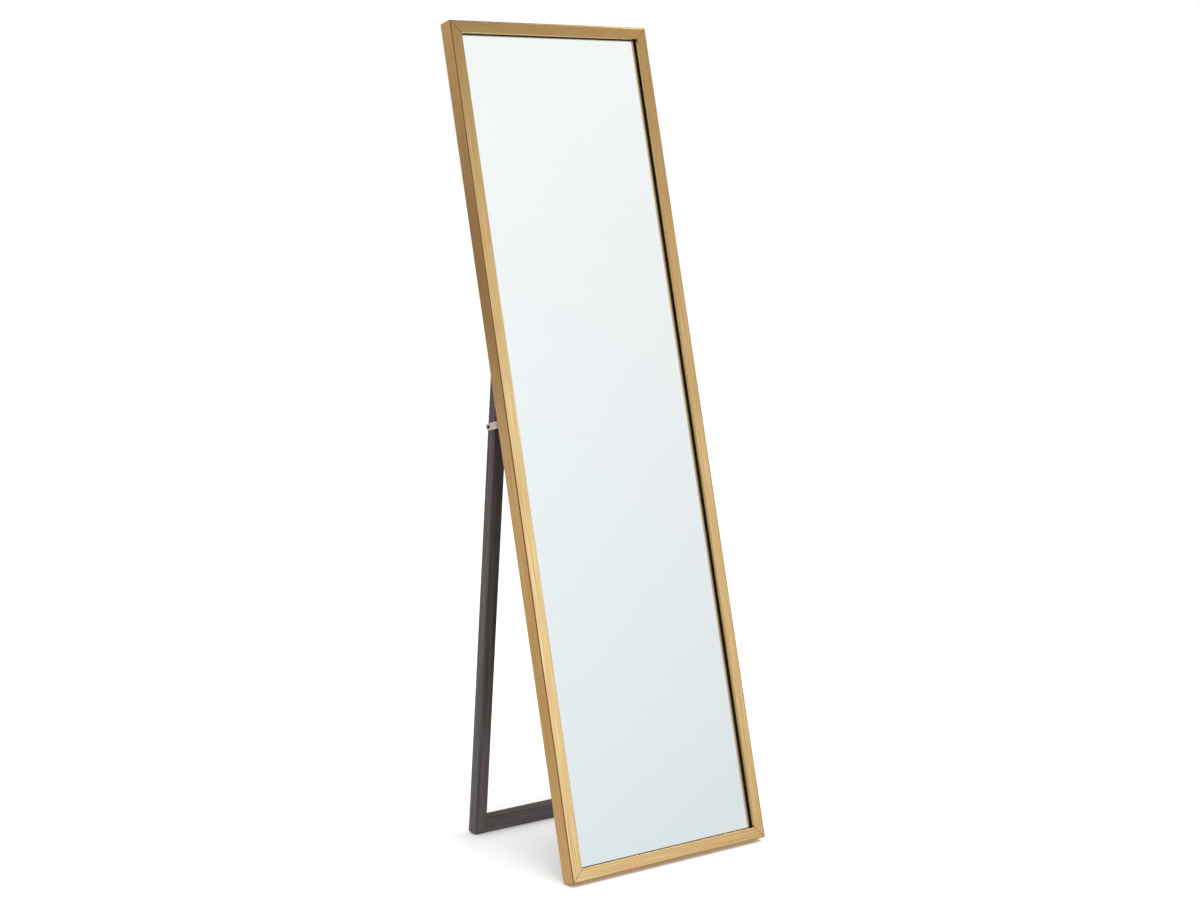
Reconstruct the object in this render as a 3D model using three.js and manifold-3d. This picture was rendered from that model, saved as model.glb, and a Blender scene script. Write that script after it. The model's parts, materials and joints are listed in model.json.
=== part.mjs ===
// Full-length easel mirror: a mitred, gilded frame leaning back on a folding rear stand.
// Millimetres, +Z up, +X to the viewer's right; the glass faces -Y.
// The frame stands on its rear bottom edge and the stand on its front bottom edge.
import * as THREE from 'three';
import { mergeVertices } from 'three/addons/utils/BufferGeometryUtils.js';
import Module from 'manifold-3d';

const wasm = await Module();
wasm.setup();

const { cos, sin, PI } = Math;
const degrees = THREE.MathUtils.degToRad;

// The whole object
const MIRROR_WIDTH = 400;
const MIRROR_HEIGHT = 1400;
const LEAN = degrees(14);          // of the mirror, back from upright
const STAND_TILT = degrees(5.6);   // of the stand, forward from upright
const OPENING = LEAN + STAND_TILT; // between the mirror's back and the stand
const STAND_REACH = 320;           // from the frame's front bottom edge to the stand's
const GAP = 0.3;                   // left between pieces that rest on each other

// Frame moulding: an L section, seen across the face and in depth
const FRAME_FACE = 20.5;
const FRAME_DEPTH = 29;
const REBATE_WALL = 14.5;          // from the outer side to the wall that houses the glass
const LIP_DEPTH = 7;               // how far the glass lies behind the face
const ARRIS = 0.8;                 // rounding of the face's two long edges
const MITRE_GAP = 0.2;             // each mitred end stops this short of the corner plane

// What the rebate holds, from the lip backwards
const EDGE_PLAY = 1;               // between the glass's edge and the rebate wall
const GLASS_THICKNESS = 4;
const PANEL_THICKNESS = 3;
const GLASS_FRONT = LIP_DEPTH + GAP;
const PANEL_FRONT = GLASS_FRONT + GLASS_THICKNESS + GAP;
const PANEL_BACK = PANEL_FRONT + PANEL_THICKNESS;

// Glazing points: steel tabs driven into the rebate wall behind the panel
const POINT = { along: 15, buried: 6, shown: 8, thickness: 0.5 };
const POINT_HEIGHTS = [150, 500, 1250];

// Stand bars
const STAND_WIDTH = 350;
const LEG_WIDTH = 22;
const BAR_DEPTH = 22;
const RAIL_HEIGHT = 26;
const BAR_ARRIS = 1.2;
const DOWEL = { radius: 4, length: 30 };

// Butt hinges, with their axis at the top front edge of the stand
const HINGE_X = 115;
const LEAF = { length: 50, width: 18, thickness: 1.2, screwX: 16, screwOut: 11 };
const BARREL_RADIUS = 2.75;
const PIN_RADIUS = 1.05;
const KNUCKLE_HALF = 8.2;          // half the length of the moving leaf's middle knuckle
const FOLDED_GAP = 2.5;            // between the mirror's back and the folded stand
const CROSS_RAIL = { height: 50, below: 15 };

// Folding stays, square to the mirror's back when the stand is open
const STAY_HEIGHT = 743;           // above the frame's bottom, along the mirror
const FRONT_PIVOT = 8.5;           // distances of the three pivots behind the frame's back
const KNEE = 39;
const REAR_PIVOT = 60;
const LINK = { width: 12, thickness: 1.5, corner: 3 };
const BRACKET = { width: 20, height: 30, thickness: 1.5, screwX: 192, screwZ: 10 };
const RIVET = { shank: 2, head: 3.2, headHeight: 1 };
const SPACER_RADIUS = 3;           // of the collar between the leg and the rear link

const WOOD_SCREW = { head: 3, headHeight: 1.7, shank: 1.5, length: 12 };
const PIVOT_SCREW = { head: 3, headHeight: 1.6, shank: 1.9, length: 16 };

// The hinge axis follows from where the two legs of the A shape stand
const FOOT_RUN = STAND_REACH - FRAME_DEPTH * cos(LEAN);
const AXIS_OUT = GAP + BARREL_RADIUS;
const AXIS_SETBACK = AXIS_OUT - FOLDED_GAP;
const AXIS_TO_FOOT = FOOT_RUN * cos(LEAN) - AXIS_OUT;
const AXIS_RISE = (AXIS_SETBACK + AXIS_TO_FOOT * cos(OPENING)) / sin(OPENING);
const AXIS_HEIGHT = FOOT_RUN * sin(LEAN) + AXIS_RISE;
const AXIS_ON_STAND = AXIS_TO_FOOT * sin(OPENING) + AXIS_RISE * cos(OPENING);
const LEG_LENGTH = AXIS_ON_STAND - BARREL_RADIUS - GAP;

// Planes of the stay's two links, counted outwards from the side of the leg
const LEG_SIDE = STAND_WIDTH / 2;
const INNER_PLANE = LEG_SIDE + GAP;
const OUTER_PLANE = INNER_PLANE + LINK.thickness + GAP;
const OUTER_FACE = OUTER_PLANE + LINK.thickness;

function finish(color, roughness, metalness) {
  return new THREE.MeshStandardMaterial({ color, roughness, metalness });
}

const gold = finish(0xc79f62, 0.36, 0.8);
const silvering = finish(0xe4ebed, 0.04, 1);
const hardboard = finish(0x2b2623, 0.75, 0);
const blackWood = finish(0x403a38, 0.5, 0);
const beech = finish(0xc8a57a, 0.7, 0);
const zinc = finish(0xc9c4be, 0.35, 1);
const blackSteel = finish(0x1d1c1c, 0.4, 0.8);

// A named mesh, placed by its position
function piece(name, geometry, material, x = 0, y = 0, z = 0) {
  const mesh = new THREE.Mesh(geometry, material);
  mesh.name = name;
  mesh.position.set(x, y, z);
  return mesh;
}

function toSolid(geometry) {
  const bare = geometry.clone();
  bare.deleteAttribute('normal');
  bare.deleteAttribute('uv');
  const merged = mergeVertices(bare, 1e-4);
  return new wasm.Manifold(new wasm.Mesh({
    numProp: 3,
    vertProperties: merged.attributes.position.array,
    triVerts: Uint32Array.from(merged.index.array),
  }));
}

function toGeometry(solid) {
  const mesh = solid.getMesh();
  const geometry = new THREE.BufferGeometry();
  geometry.setAttribute('position', new THREE.BufferAttribute(mesh.vertProperties, 3));
  geometry.setIndex(new THREE.BufferAttribute(mesh.triVerts, 1));
  geometry.computeVertexNormals();
  return geometry;
}

function joined(geometries) {
  return geometries.map(toSolid).reduce((sum, next) => sum.add(next));
}

function without(solid, cutters) {
  return toGeometry(cutters.map(toSolid).reduce((rest, next) => rest.subtract(next), solid));
}

// A box given by its two corners
function block(x0, y0, z0, x1, y1, z1) {
  const box = new THREE.BoxGeometry(x1 - x0, y1 - y0, z1 - z0);
  return box.translate((x0 + x1) / 2, (y0 + y1) / 2, (z0 + z1) / 2);
}

// Round bars centred on a point, along each axis
function barX(radius, length, x, y, z, sides = 24) {
  const bar = new THREE.CylinderGeometry(radius, radius, length, sides);
  return bar.rotateZ(PI / 2).translate(x, y, z);
}

function barY(radius, length, x, y, z, sides = 16) {
  return new THREE.CylinderGeometry(radius, radius, length, sides).translate(x, y, z);
}

function barZ(radius, length, x, y, z, sides = 16) {
  const bar = new THREE.CylinderGeometry(radius, radius, length, sides);
  return bar.rotateX(PI / 2).translate(x, y, z);
}

// An outline drawn in (depth, height) and given its thickness along +X
function plateAcrossX(outline, thickness) {
  const plate = new THREE.ExtrudeGeometry(outline, {
    depth: thickness, bevelEnabled: false, curveSegments: 12,
  });
  const turn = new THREE.Matrix4().makeBasis(
    new THREE.Vector3(0, 1, 0), new THREE.Vector3(0, 0, 1), new THREE.Vector3(1, 0, 0));
  return plate.applyMatrix4(turn);
}

function roundHole(outline, x, y, radius) {
  const hole = new THREE.Path();
  hole.absarc(x, y, radius, 0, 2 * PI, true);
  outline.holes.push(hole);
}

// A screw or rivet turned about +Y: domed head above y = 0, shank below it
function headedPin(headRadius, headHeight, shankRadius, shankLength, tip) {
  const dome = new THREE.EllipseCurve(0, 0, headRadius, headHeight, 0, PI / 2);
  const outline = [
    new THREE.Vector2(0, -shankLength),
    new THREE.Vector2(shankRadius * (tip ? 0.15 : 1), -shankLength),
    new THREE.Vector2(shankRadius, -shankLength + (tip ? 3 : 0.01)),
    new THREE.Vector2(shankRadius, 0),
    ...dome.getPoints(4).slice(0, -1),
    new THREE.Vector2(0, headHeight),
  ];
  return new THREE.LatheGeometry(outline, 12);
}

function screwGeometry(size) {
  return headedPin(size.head, size.headHeight, size.shank, size.length, true);
}

// ---- Frame -------------------------------------------------------------------------------

function mouldingProfile() {
  const profile = new THREE.Shape();
  profile.moveTo(0, FRAME_DEPTH);
  profile.lineTo(0, ARRIS);
  profile.absarc(ARRIS, ARRIS, ARRIS, PI, 1.5 * PI);
  profile.lineTo(FRAME_FACE - ARRIS, 0);
  profile.absarc(FRAME_FACE - ARRIS, ARRIS, ARRIS, 1.5 * PI, 2 * PI);
  profile.lineTo(FRAME_FACE, LIP_DEPTH);
  profile.lineTo(REBATE_WALL, LIP_DEPTH);
  profile.lineTo(REBATE_WALL, FRAME_DEPTH);
  profile.closePath();
  return profile;
}

// A straight length of moulding along +Z, outer side on x = 0, both ends mitred at 45 degrees
function mitredMoulding(length) {
  const geometry = new THREE.ExtrudeGeometry(mouldingProfile(), {
    depth: length, bevelEnabled: false, curveSegments: 5,
  });
  const position = geometry.attributes.position;
  for (let i = 0; i < position.count; i += 1) {
    const inset = position.getX(i) + MITRE_GAP;
    position.setZ(i, position.getZ(i) < length / 2 ? inset : length - inset);
  }
  return geometry;
}

function glazingPoint(name, along) {
  const { along: wide, buried, shown, thickness } = POINT;
  const front = PANEL_BACK + GAP;
  const tab = block(-buried, front, -wide / 2, shown, front + thickness, wide / 2);
  return piece(name, tab, zinc, REBATE_WALL, 0, along);
}

function pointPocket(along) {
  const { along: wide, buried, thickness } = POINT;
  const front = PANEL_BACK;
  return block(REBATE_WALL - buried - GAP, front, along - wide / 2 - GAP,
    REBATE_WALL + 1, front + thickness + 2 * GAP, along + wide / 2 + GAP);
}

function bracketScrewHole(along) {
  const depth = WOOD_SCREW.length;
  return barY(WOOD_SCREW.shank + GAP, depth + 1, MIRROR_WIDTH / 2 - BRACKET.screwX,
    FRAME_DEPTH - depth / 2 + 0.5, along, 12);
}

// One side of the frame with its glazing points, turned about the depth axis into place
function frameSide(name, length, points, screwHoles, turn, x, z) {
  const cutters = [
    ...points.map(([, along]) => pointPocket(along)),
    ...screwHoles.map(bracketScrewHole),
  ];
  const side = new THREE.Group();
  side.add(piece(name, without(toSolid(mitredMoulding(length)), cutters), gold));
  side.add(...points.map(([pointName, along]) => glazingPoint(pointName, along)));
  side.rotation.y = turn;
  side.position.set(x, 0, z);
  return side;
}

function frameSides() {
  const half = MIRROR_WIDTH / 2;
  const fromTop = (height) => MIRROR_HEIGHT - height;
  const numbered = (side, places) => places.map((at, i) => [`glazing_point_${side}_${i + 1}`, at]);
  const screwHeights = [STAY_HEIGHT - BRACKET.screwZ, STAY_HEIGHT + BRACKET.screwZ];
  return [
    frameSide('frame_stile_left', MIRROR_HEIGHT, numbered('left', POINT_HEIGHTS),
      screwHeights, 0, -half, 0),
    frameSide('frame_stile_right', MIRROR_HEIGHT, numbered('right', POINT_HEIGHTS.map(fromTop)),
      screwHeights.map(fromTop), PI, half, MIRROR_HEIGHT),
    frameSide('frame_rail_bottom', MIRROR_WIDTH, numbered('bottom', [half]), [], -PI / 2, half, 0),
    frameSide('frame_rail_top', MIRROR_WIDTH, numbered('top', [half]), [], PI / 2, -half,
      MIRROR_HEIGHT),
  ];
}

// ---- What the frame holds ----------------------------------------------------------------

function rebateSheet(name, front, thickness, material) {
  const inset = REBATE_WALL + EDGE_PLAY;
  const half = MIRROR_WIDTH / 2 - inset;
  const sheet = block(-half, front, inset, half, front + thickness, MIRROR_HEIGHT - inset);
  return piece(name, sheet, material);
}

function hingeScrewPlaces() {
  return [-HINGE_X, HINGE_X].flatMap((x) => [x - LEAF.screwX, x + LEAF.screwX]);
}

function crossRail() {
  const half = MIRROR_WIDTH / 2 - REBATE_WALL - GAP;
  const bottom = AXIS_HEIGHT - CROSS_RAIL.below;
  const bar = block(-half, PANEL_BACK + GAP, bottom, half, FRAME_DEPTH, bottom + CROSS_RAIL.height);
  const holes = hingeScrewPlaces().map((x) => barY(WOOD_SCREW.shank + GAP,
    WOOD_SCREW.length + 1, x, FRAME_DEPTH - WOOD_SCREW.length / 2 + 0.5,
    AXIS_HEIGHT + LEAF.screwOut, 12));
  return piece('hinge_cross_rail', without(toSolid(bar), holes), blackWood);
}

// ---- Hinges ------------------------------------------------------------------------------

// A leaf reaching along +Z from its axis on X, its outer face tangent to the barrel at -Y
function hingeLeaf(knuckles) {
  const back = -BARREL_RADIUS;
  const front = back + LEAF.thickness;
  const clear = BARREL_RADIUS + GAP;
  const half = LEAF.length / 2;
  const parts = [block(-half, back, clear, half, front, LEAF.width)];
  for (const [from, to] of knuckles) {
    parts.push(block(from, back, 0, to, front, clear + 0.5));
    parts.push(barX(BARREL_RADIUS, to - from, (from + to) / 2, 0, 0));
  }
  const cutters = [
    barX(PIN_RADIUS + GAP, LEAF.length + 2, 0, 0, 0, 16),
    ...[-LEAF.screwX, LEAF.screwX].map((x) => barY(WOOD_SCREW.shank + GAP,
      4, x, back, LEAF.screwOut, 12)),
  ];
  return without(joined(parts), cutters);
}

function hingePin() {
  const half = LEAF.length / 2 + GAP;
  const headRadius = 2;
  const headHeight = 0.8;
  const outline = [
    [0, -half - headHeight], [headRadius, -half - headHeight], [headRadius, -half],
    [PIN_RADIUS, -half], [PIN_RADIUS, half], [headRadius, half],
    [headRadius, half + headHeight], [0, half + headHeight],
  ].map(([radius, height]) => new THREE.Vector2(radius, height));
  return new THREE.LatheGeometry(outline, 16).rotateZ(PI / 2);
}

// Fixed leaf, pin and two screws, on the mirror
function hingeOnMirror(side, x) {
  const half = LEAF.length / 2;
  const outerKnuckles = [[-half, -KNUCKLE_HALF - GAP], [KNUCKLE_HALF + GAP, half]];
  const hinge = new THREE.Group();
  hinge.add(piece(`hinge_leaf_fixed_${side}`, hingeLeaf(outerKnuckles), zinc));
  hinge.add(piece(`hinge_pin_${side}`, hingePin(), zinc));
  [-LEAF.screwX, LEAF.screwX].forEach((screwX, i) => {
    hinge.add(piece(`hinge_rail_screw_${side}_${i + 1}`, screwGeometry(WOOD_SCREW), zinc,
      screwX, -BARREL_RADIUS + LEAF.thickness + GAP, LEAF.screwOut));
  });
  hinge.position.set(x, FRAME_DEPTH + AXIS_OUT, AXIS_HEIGHT);
  return hinge;
}

// Moving leaf and two screws, on top of the stand
function hingeOnStand(side, x) {
  const hinge = new THREE.Group();
  const leaf = piece(`hinge_leaf_moving_${side}`, hingeLeaf([[-KNUCKLE_HALF, KNUCKLE_HALF]]), zinc);
  hinge.add(leaf);
  [-LEAF.screwX, LEAF.screwX].forEach((screwX, i) => {
    hinge.add(piece(`hinge_stand_screw_${side}_${i + 1}`, screwGeometry(WOOD_SCREW), zinc,
      screwX, -BARREL_RADIUS + LEAF.thickness + GAP, LEAF.screwOut));
  });
  // half a turn about the (Y + Z) line lays the leaf on the rail's top face
  hinge.setRotationFromAxisAngle(new THREE.Vector3(0, 1, 1).normalize(), PI);
  hinge.position.set(x, AXIS_SETBACK, AXIS_ON_STAND);
  return hinge;
}

// ---- Stand -------------------------------------------------------------------------------

function roundedRectangle(width, height, radius) {
  const outline = new THREE.Shape();
  outline.moveTo(0, radius);
  outline.absarc(radius, radius, radius, PI, 1.5 * PI);
  outline.absarc(width - radius, radius, radius, 1.5 * PI, 2 * PI);
  outline.absarc(width - radius, height - radius, radius, 0, 0.5 * PI);
  outline.absarc(radius, height - radius, radius, 0.5 * PI, PI);
  outline.closePath();
  return outline;
}

function dowelHole(side, height) {
  return barX(DOWEL.radius + GAP, DOWEL.length + 1, side * (LEG_SIDE - LEG_WIDTH),
    BAR_DEPTH / 2, height, 16);
}

const RAIL_HEIGHTS = [RAIL_HEIGHT / 2, LEG_LENGTH - RAIL_HEIGHT / 2];

function standLeg(name, side, rearPivot) {
  const bar = new THREE.ExtrudeGeometry(roundedRectangle(LEG_WIDTH, BAR_DEPTH, BAR_ARRIS), {
    depth: LEG_LENGTH, bevelEnabled: false, curveSegments: 4,
  });
  bar.translate(side < 0 ? -LEG_SIDE : LEG_SIDE - LEG_WIDTH, 0, 0);
  const screwHole = barX(PIVOT_SCREW.shank + GAP, 2 * PIVOT_SCREW.length, side * LEG_SIDE,
    rearPivot.y, rearPivot.z, 16);
  const holes = RAIL_HEIGHTS.map((height) => dowelHole(side, height));
  return piece(name, without(toSolid(bar), [...holes, screwHole]), blackWood);
}

function standRail(name, bottom, hingeHoles) {
  const length = STAND_WIDTH - 2 * LEG_WIDTH - 2 * GAP;
  const bar = plateAcrossX(roundedRectangle(BAR_DEPTH, RAIL_HEIGHT, BAR_ARRIS), length);
  bar.translate(-length / 2, 0, bottom);
  const dowelHoles = [-1, 1].map((side) => dowelHole(side, bottom + RAIL_HEIGHT / 2));
  return piece(name, without(toSolid(bar), [...dowelHoles, ...hingeHoles]), blackWood);
}

function standFrame(rearPivot) {
  const topHoles = hingeScrewPlaces().map((x) => barZ(WOOD_SCREW.shank + GAP,
    WOOD_SCREW.length + 1, x, AXIS_SETBACK + LEAF.screwOut,
    LEG_LENGTH - WOOD_SCREW.length / 2 + 0.5, 12));
  const dowels = [-1, 1].flatMap((side) => RAIL_HEIGHTS.map((height, i) => piece(
    `stand_dowel_${side < 0 ? 'left' : 'right'}_${i ? 'top' : 'bottom'}`,
    barX(DOWEL.radius, DOWEL.length, side * (LEG_SIDE - LEG_WIDTH), BAR_DEPTH / 2, height, 16),
    beech)));
  return [
    standLeg('stand_leg_left', -1, rearPivot),
    standLeg('stand_leg_right', 1, rearPivot),
    standRail('stand_rail_bottom', 0, []),
    standRail('stand_rail_top', LEG_LENGTH - RAIL_HEIGHT, topHoles),
    ...dowels,
    hingeOnStand('left', -HINGE_X),
    hingeOnStand('right', HINGE_X),
  ];
}

// ---- Stays -------------------------------------------------------------------------------

// A flat link between two pivots, with a hole at each and round ends, or a squarer rear end
// where the radius of its corners is given
function linkGeometry(from, to, holeFrom, holeTo, corner) {
  const half = LINK.width / 2;
  const outline = new THREE.Shape();
  outline.absarc(from, 0, half, 0.5 * PI, 1.5 * PI);
  if (corner) {
    outline.absarc(to + half - corner, corner - half, corner, 1.5 * PI, 2 * PI);
    outline.absarc(to + half - corner, half - corner, corner, 0, 0.5 * PI);
  } else {
    outline.absarc(to, 0, half, 1.5 * PI, 2.5 * PI);
  }
  outline.closePath();
  roundHole(outline, from, 0, holeFrom);
  roundHole(outline, to, 0, holeTo);
  return plateAcrossX(outline, LINK.thickness);
}

// An angle bracket: a flange on the frame's back and an ear that holds the front pivot
function bracketGeometry() {
  const ear = new THREE.Shape();
  ear.moveTo(GAP, LINK.width / 2);
  ear.lineTo(GAP, -LINK.width / 2);
  ear.absarc(FRONT_PIVOT, 0, LINK.width / 2, 1.5 * PI, 2.5 * PI);
  ear.closePath();
  roundHole(ear, FRONT_PIVOT, 0, RIVET.shank + GAP);
  const flange = block(-OUTER_PLANE - BRACKET.width, GAP, -BRACKET.height / 2,
    -OUTER_PLANE, GAP + BRACKET.thickness, BRACKET.height / 2);
  const holes = [-BRACKET.screwZ, BRACKET.screwZ].map((z) => barY(
    WOOD_SCREW.shank + GAP, 6, -BRACKET.screwX, 0, z, 12));
  const upright = plateAcrossX(ear, BRACKET.thickness).translate(-OUTER_FACE, 0, 0);
  return without(joined([flange, upright]), holes);
}

function spacerGeometry(thickness) {
  const outline = new THREE.Shape();
  outline.absarc(0, 0, SPACER_RADIUS, 0, 2 * PI);
  roundHole(outline, 0, 0, PIVOT_SCREW.shank + GAP);
  return plateAcrossX(outline, thickness);
}

// Built for the left side about its front end on the frame's back; half a turn makes the right
function stay(side) {
  const group = new THREE.Group();
  const rivetHole = RIVET.shank + GAP;
  const rivet = (length) => headedPin(RIVET.head, RIVET.headHeight, RIVET.shank, length, false);
  const headOutside = (geometry) => geometry.rotateZ(PI / 2);
  group.add(piece(`stay_bracket_${side}`, bracketGeometry(), zinc));
  [-BRACKET.screwZ, BRACKET.screwZ].forEach((z, i) => {
    group.add(piece(`stay_bracket_screw_${side}_${i + 1}`, screwGeometry(WOOD_SCREW), zinc,
      -BRACKET.screwX, 2 * GAP + BRACKET.thickness, z));
  });
  group.add(piece(`stay_front_link_${side}`,
    linkGeometry(FRONT_PIVOT, KNEE, rivetHole, rivetHole), zinc,
    -INNER_PLANE - LINK.thickness));
  group.add(piece(`stay_rear_link_${side}`,
    linkGeometry(KNEE, REAR_PIVOT, rivetHole, PIVOT_SCREW.shank + GAP, LINK.corner), zinc,
    -OUTER_FACE));
  group.add(piece(`stay_front_rivet_${side}`,
    headOutside(rivet(OUTER_FACE + GAP - INNER_PLANE)), zinc, -OUTER_FACE - GAP, FRONT_PIVOT, 0));
  group.add(piece(`stay_knee_rivet_${side}`,
    headOutside(rivet(OUTER_FACE + GAP - OUTER_PLANE)), zinc, -OUTER_FACE - GAP, KNEE, 0));
  group.add(piece(`stay_knee_rivet_tail_${side}`,
    barX(RIVET.shank, LINK.thickness, 0, 0, 0, 16), zinc,
    -INNER_PLANE - LINK.thickness / 2, KNEE, 0));
  group.add(piece(`stay_pivot_screw_${side}`, headOutside(screwGeometry(PIVOT_SCREW)), blackSteel,
    -OUTER_FACE - GAP, REAR_PIVOT, 0));
  group.add(piece(`stay_spacer_${side}`, spacerGeometry(LINK.thickness), zinc,
    -INNER_PLANE - LINK.thickness, REAR_PIVOT, 0));
  group.position.set(0, FRAME_DEPTH, STAY_HEIGHT);
  group.rotation.y = side === 'left' ? 0 : PI;
  return group;
}

// ---- Assembly ----------------------------------------------------------------------------

const mirror = new THREE.Group();
mirror.rotation.x = -LEAN;
mirror.position.z = FRAME_DEPTH * sin(LEAN);
const stand = new THREE.Group();
stand.rotation.x = STAND_TILT;
stand.position.y = STAND_REACH;

const assembly = new THREE.Group();
assembly.add(mirror, stand);
assembly.updateMatrixWorld(true);

const rearPivotPoint = new THREE.Vector3(0, FRAME_DEPTH + REAR_PIVOT, STAY_HEIGHT);
const rearPivotOnStand = stand.worldToLocal(mirror.localToWorld(rearPivotPoint));

mirror.add(
  ...frameSides(),
  rebateSheet('mirror_glass', GLASS_FRONT, GLASS_THICKNESS, silvering),
  rebateSheet('back_panel', PANEL_FRONT, PANEL_THICKNESS, hardboard),
  crossRail(),
  hingeOnMirror('left', -HINGE_X),
  hingeOnMirror('right', HINGE_X),
  stay('left'),
  stay('right'),
);
stand.add(...standFrame(rearPivotOnStand));

// The origin is on the floor, at the middle of the whole object's box
const box = new THREE.Box3().setFromObject(assembly, true);
assembly.position.y = -(box.min.y + box.max.y) / 2;

export default assembly;
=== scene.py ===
"""Full-length easel mirror: a gold frame that leans back on a folding rear stand.

Laid out as an add-on, with one operator for each group of pieces and one for the stage.
"""

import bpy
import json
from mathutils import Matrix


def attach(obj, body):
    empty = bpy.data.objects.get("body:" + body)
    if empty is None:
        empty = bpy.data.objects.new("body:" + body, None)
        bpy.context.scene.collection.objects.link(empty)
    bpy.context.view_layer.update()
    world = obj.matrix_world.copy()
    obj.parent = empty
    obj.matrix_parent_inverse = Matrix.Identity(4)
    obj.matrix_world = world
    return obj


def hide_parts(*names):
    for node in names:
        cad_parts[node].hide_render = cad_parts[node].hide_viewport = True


bl_info = {
    "name": "Easel Floor Mirror",
    "version": (1, 0, 0),
    "blender": (4, 5, 0),
    "location": "View3D > Sidebar > Easel Mirror",
    "description": "Builds a full-length leaning mirror with a folding rear stand",
    "category": "Add Mesh",
}

import json
import math

import bmesh
import bpy
from bpy.props import FloatProperty, FloatVectorProperty, PointerProperty
from mathutils import Matrix, Vector

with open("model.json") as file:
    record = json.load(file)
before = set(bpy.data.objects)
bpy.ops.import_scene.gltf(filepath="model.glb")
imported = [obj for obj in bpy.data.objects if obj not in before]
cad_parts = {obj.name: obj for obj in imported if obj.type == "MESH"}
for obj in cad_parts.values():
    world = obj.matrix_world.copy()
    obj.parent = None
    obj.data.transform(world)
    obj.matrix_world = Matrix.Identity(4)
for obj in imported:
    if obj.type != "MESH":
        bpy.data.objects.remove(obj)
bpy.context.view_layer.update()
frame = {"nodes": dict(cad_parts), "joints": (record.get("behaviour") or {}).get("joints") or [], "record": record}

MM = 0.001
SIDES = {"left": -1, "right": 1}
MOUNTS = {mount["name"]: mount for mount in frame["record"]["mounts"]}
JOINTS = {joint["name"]: joint for joint in frame["joints"]}


# ---- Sizes and colours a user may change ----

def length(name, description, millimetres):
    return FloatProperty(name=name, description=description, default=millimetres * MM,
                         min=0.0, subtype="DISTANCE", unit="LENGTH")


def linear(code):
    """Linear RGB of an sRGB hex colour."""
    channels = [int(code[i:i + 2], 16) / 255 for i in (1, 3, 5)]
    return tuple(c / 12.92 if c <= 0.04045 else ((c + 0.055) / 1.055) ** 2.4 for c in channels)


def colour(name, description, code):
    return FloatVectorProperty(name=name, description=description, default=linear(code),
                               subtype="COLOR", size=3, min=0.0, max=1.0)


class EaselMirrorSizes(bpy.types.PropertyGroup):
    """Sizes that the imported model's boxes don't give."""
    frame_face: length("Frame face", "Width of the moulding seen from the front", 20.5)
    frame_arris: length("Frame arris", "Radius on the outer long edge of the face", 2.5)
    lip_arris: length("Lip arris", "Radius on the face's edge beside the glass", 0.5)
    # painted shade: from this depth to the glass the lip is dark bare board, a dark band standing in for the
    # shadowed gap at the glass's edge
    painted_shade_start: length("Foil turn", "How far the foil is turned in beside the glass", 4.6)
    lip_depth: length("Lip depth", "How far the glass lies behind the face", 7)
    rebate_wall: length("Rebate wall", "From the outer side to the wall round the glass", 14.5)
    mitre_gap: length("Mitre gap", "Open line on each side of a corner joint", 0.45)
    silver_coat: length("Silver coat", "Silvering and its backing paint", 0.15)
    bar_arris: length("Stand bar arris", "Radius on the stand's long edges", 1.5)
    end_arris: length("End arris", "Radius round a sawn end", 0.4)
    leaf_thickness: length("Leaf thickness", "Steel of the hinge leaves", 1.2)
    middle_knuckle: length("Middle knuckle", "Length of the moving leaf's knuckle", 16.4)
    knuckle_gap: length("Knuckle gap", "Between two knuckles", 0.3)
    pin_radius: length("Pin radius", "Radius of the hinge pin", 1.05)
    sheet_arris: length("Sheet arris", "Radius on the edges of stamped steel", 0.2)


class EaselMirrorColours(bpy.types.PropertyGroup):
    """Colours of the finishes."""
    gold: colour("Gold", "Foil of the frame", "#E4C184")
    gold_shade: colour("Shaded gold", "Foil between the brush lines", "#BA9251")
    gold_warm: colour("Warm gold", "Redder clouds in the foil", "#D2A065")
    silver: colour("Silvering", "Reflecting layer of the mirror", "#F7F9F9")
    glass: colour("Glass", "Clear float glass", "#FEFFFF")
    wood: colour("Stand wood", "Stained wood of the stand", "#524A49")
    wood_pore: colour("Wood pores", "Grain lines of the stained wood", "#2A2524")
    board: colour("Back board", "Pressed fibre board", "#5A4534")
    zinc: colour("Zinc", "Plated steel of the hardware", "#EFE6DC")
    floor: colour("Floor", "Studio floor", "#F6F6F5")


def sizes():
    return bpy.context.scene.easel_mirror_sizes


def colours():
    return bpy.context.scene.easel_mirror_colours


# ---- Places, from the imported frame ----

def leaning_space(mount_name):
    """Space of a part that leans: X across, Y from its front to its back, Z up along it.
    Its origin is in the plane X = 0, at the middle of the lower end that the mount marks."""
    mount = MOUNTS[mount_name]
    up = -Vector(mount["axis"]).normalized()
    across = Vector((1, 0, 0))
    back = up.cross(across)
    turn = Matrix((across, back, up)).transposed().to_4x4()
    return Matrix.Translation((0, mount["pos_m"][1], mount["pos_m"][2])) @ turn


MIRROR = leaning_space("frame_base")
STAND = leaning_space("stand_foot_left")


def extent(space, *nodes):
    """Lowest and highest corner of CAD nodes along the axes of a space."""
    inverse = space.inverted()
    points = [inverse @ vertex.co for node in nodes for vertex in frame["nodes"][node].data.vertices]
    return [Vector(map(pick, zip(*points))) for pick in (min, max)]


def joint_in(space, joint_name):
    """A joint's place, along the axes of a space."""
    return space.inverted() @ Vector(JOINTS[joint_name]["pos_m"])


# ---- Material tools ----

def add_node(tree, kind, settings=(), values=(), links=()):
    """Adds a node with its settings, input values and links from other nodes' sockets."""
    node = tree.nodes.new(kind)
    for key, value in dict(settings).items():
        setattr(node, key, value)
    for key, value in dict(values).items():
        node.inputs[key].default_value = value
    for key, source in dict(links).items():
        tree.links.new(source, node.inputs[key])
    return node


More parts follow.
